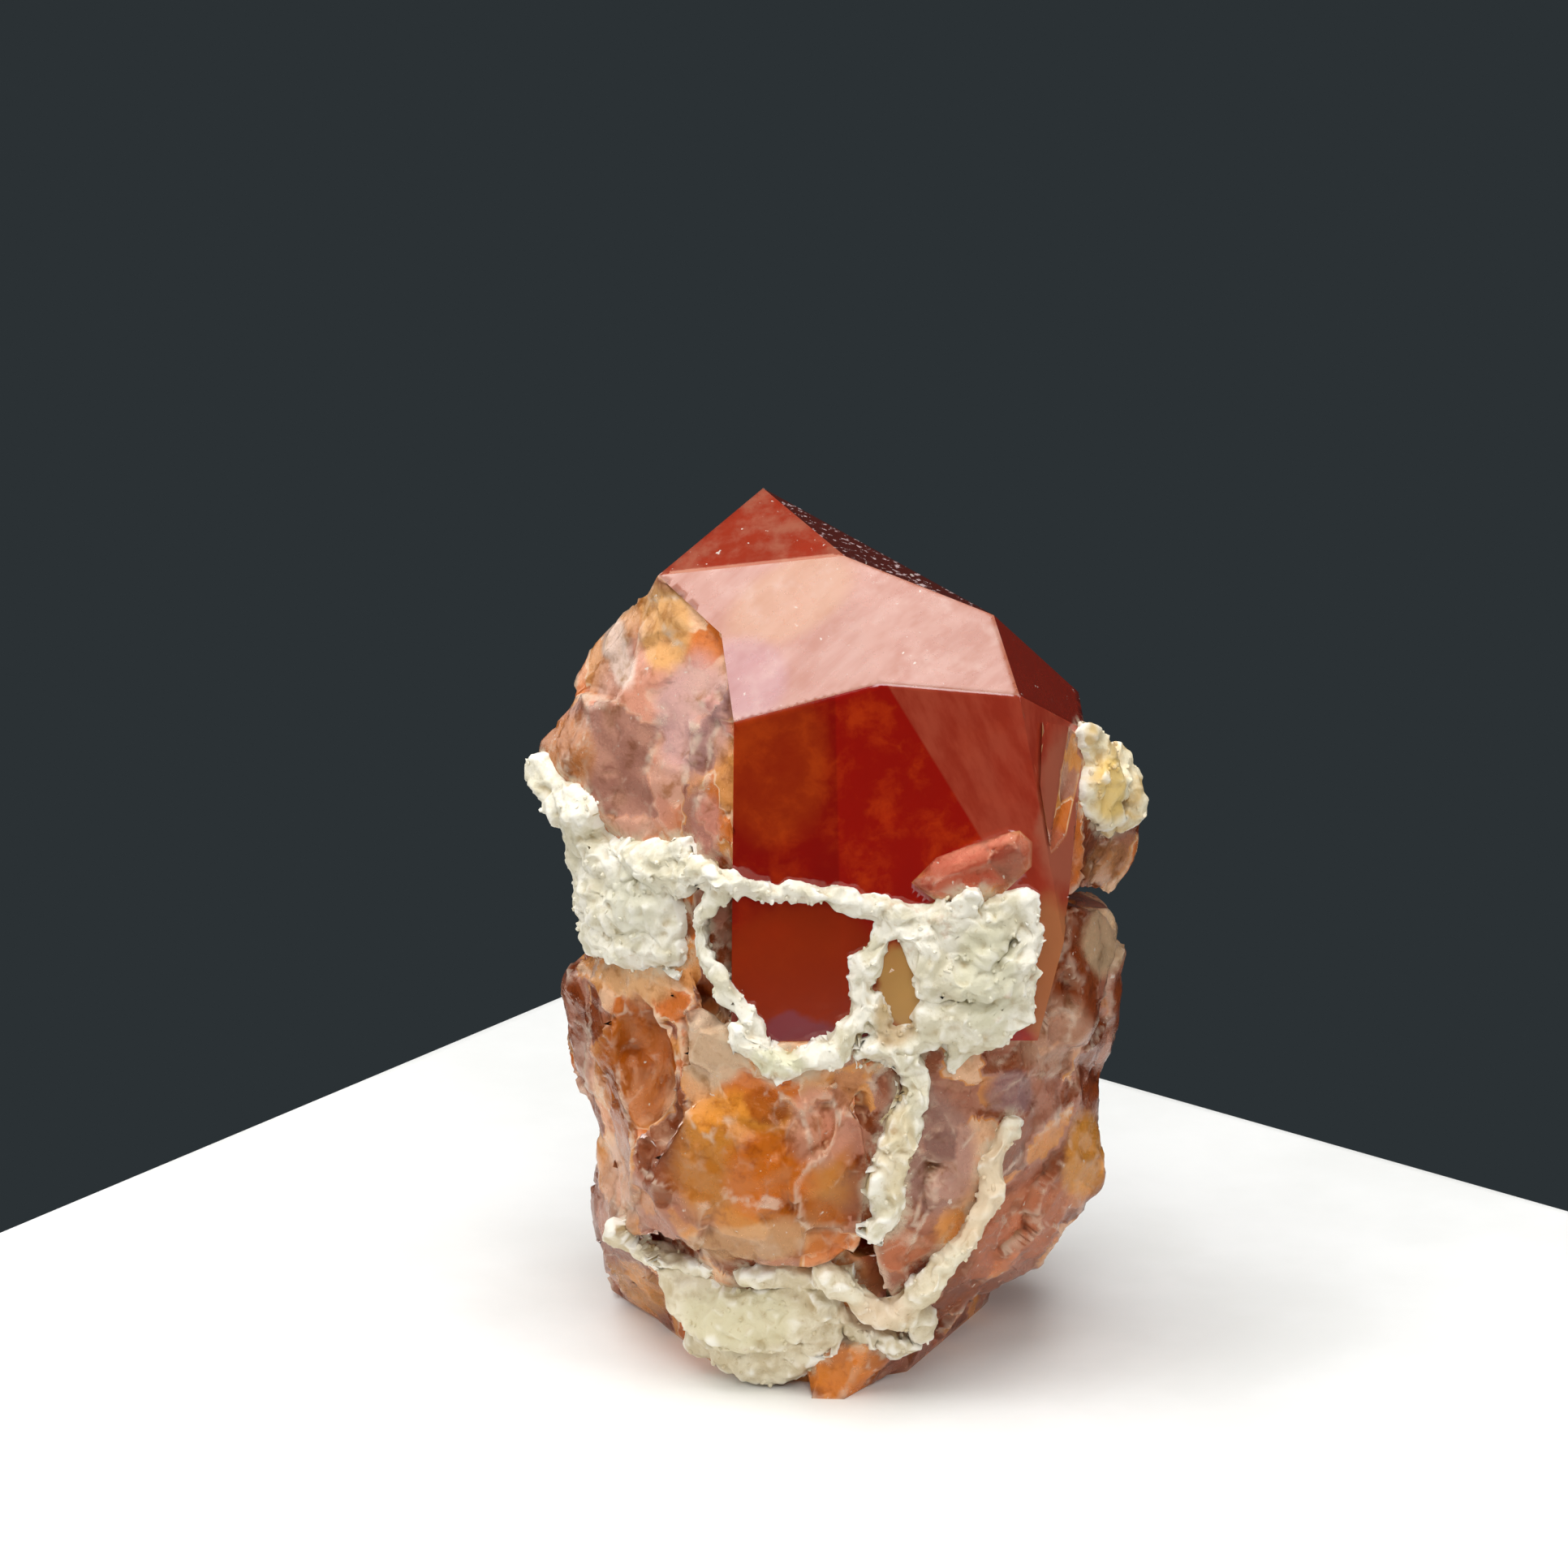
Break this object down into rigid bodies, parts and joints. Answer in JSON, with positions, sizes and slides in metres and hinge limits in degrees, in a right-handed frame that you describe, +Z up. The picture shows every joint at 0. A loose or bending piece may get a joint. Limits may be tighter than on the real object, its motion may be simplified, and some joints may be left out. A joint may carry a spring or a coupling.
{
  "type": "spessartine garnet specimen",
  "caption": "Thumbnail spessartine garnet: a gemmy faceted crystal grown on broken garnet, with a cream albite crust along the seam and foot.",
  "frame": {"origin": "centre of the bounding box in X and Y, at the flat that the specimen rests on", "axes": "+Z up towards the tip of the crystal, -Y towards the front that the picture shows, +X to the front's right"},
  "size_m": [0.013, 0.0112, 0.0184],
  "materials": {
    "garnet": "translucent orange-red garnet, flat crystal faces above and rough conchoidal fracture below",
    "albite_seam": "dull cream granular feldspar",
    "albite_knob": "dull golden cream granular feldspar",
    "albite_foot": "dull greenish cream feldspar"
  },
  "bodies": {
    "root": {"garnet": "garnet", "albite_seam": "albite_seam", "albite_knob": "albite_knob", "albite_foot": "albite_foot"}
  },
  "joints": []
}
